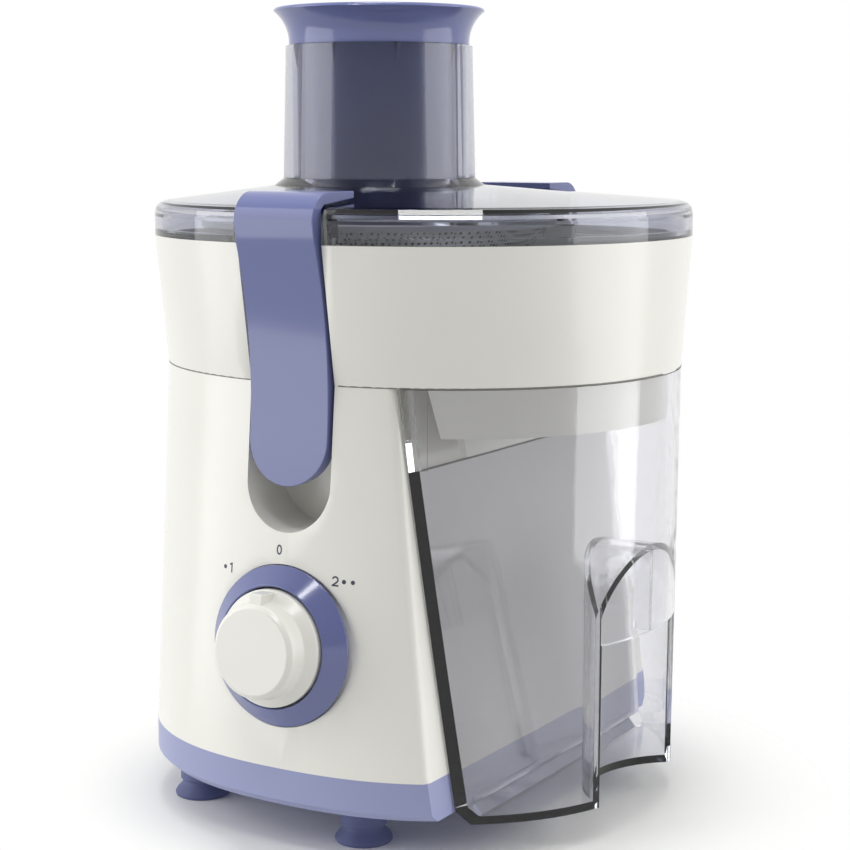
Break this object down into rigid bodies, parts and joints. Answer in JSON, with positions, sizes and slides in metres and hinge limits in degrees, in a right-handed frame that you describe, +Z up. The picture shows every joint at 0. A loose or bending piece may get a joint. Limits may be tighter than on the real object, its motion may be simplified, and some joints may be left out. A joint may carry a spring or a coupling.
{
  "type": "centrifugal juicer",
  "caption": "Countertop centrifugal juicer with a leaning control panel, clear lid with feed tube and pusher, clamp levers and a clear pulp container at its side.",
  "frame": {"origin": "middle of the bounding box on the table plane", "axes": "+Z up, -Y towards the user and the control knob, +X towards the pulp container"},
  "size_m": [0.199, 0.2135, 0.2917],
  "materials": {
    "white_plastic": "satin white ABS",
    "blue_plastic": "satin slate blue ABS",
    "clear_plastic": "clear SAN",
    "dark_rubber": "matt rubber",
    "steel": "brushed stainless steel",
    "lamination": "stacked sheet steel",
    "zinc_plate": "zinc plated sheet",
    "copper": "copper",
    "brass": "pressed brass",
    "black_plastic": "moulded black plastic",
    "grey_plastic": "moulded pale plastic"
  },
  "bodies": {
    "body": {"base_screws": "steel", "base_tray": "blue_plastic", "brush_holders": "brass", "collector_seal": "dark_rubber", "cord_gland": "dark_rubber", "field_coils": "copper", "front_clamp_pin": "steel", "juice_collector": "white_plastic", "knob_bezel": "blue_plastic", "lid": "clear_plastic", "lower_bearing": "steel", "lower_bracket": "zinc_plate", "motor_dampers": "dark_rubber", "motor_housing": "white_plastic", "rear_clamp_pin": "steel", "rotary_switch": "black_plastic", "shaft_seal": "dark_rubber", "stator_core": "lamination", "suction_foot_front_left": "dark_rubber", "suction_foot_front_right": "dark_rubber", "suction_foot_rear_left": "dark_rubber", "suction_foot_rear_right": "dark_rubber", "upper_bearing": "steel", "upper_bracket": "zinc_plate"},
    "front_clamp": {"front_clamp": "blue_plastic"},
    "rear_clamp": {"rear_clamp": "blue_plastic"},
    "knob": {"control_knob": "white_plastic", "switch_shaft": "black_plastic"},
    "pusher": {"pusher": "blue_plastic"},
    "container": {"pulp_container": "clear_plastic"},
    "spindle": {"motor_shaft": "steel", "rotor": "lamination", "commutator": "copper", "cooling_fan": "black_plastic", "drive_coupling": "black_plastic", "filter_base": "grey_plastic", "grater_disc": "steel", "filter_mesh": "steel", "filter_rim": "grey_plastic"}
  },
  "joints": [
    {"name": "pusher_slide", "type": "slide", "parent": "body", "child": "pusher", "axis": [0, 0, 1], "range_m": [0, 0.09]},
    {"name": "spindle_spin", "type": "hinge", "parent": "body", "child": "spindle", "pos_m": [-0.019, 0.0035, 0.1], "axis": [0, 0, 1], "continuous": true},
    {"name": "knob_turn", "type": "hinge", "parent": "body", "child": "knob", "pos_m": [0, -0.08768, 0.07199], "axis": [0, -0.9963, 0.0854], "range_deg": [-45, 45]},
    {"name": "front_clamp_swing", "type": "hinge", "parent": "body", "child": "front_clamp", "pos_m": [0, -0.07576, 0.147], "axis": [1, 0, 0], "range_deg": [0, 28]},
    {"name": "rear_clamp_swing", "type": "hinge", "parent": "body", "child": "rear_clamp", "pos_m": [0, 0.08276, 0.147], "axis": [-1, 0, 0], "range_deg": [0, 28]},
    {"name": "container_slide", "type": "slide", "parent": "body", "child": "container", "axis": [1, 0, 0], "range_m": [0, 0.11]}
  ]
}
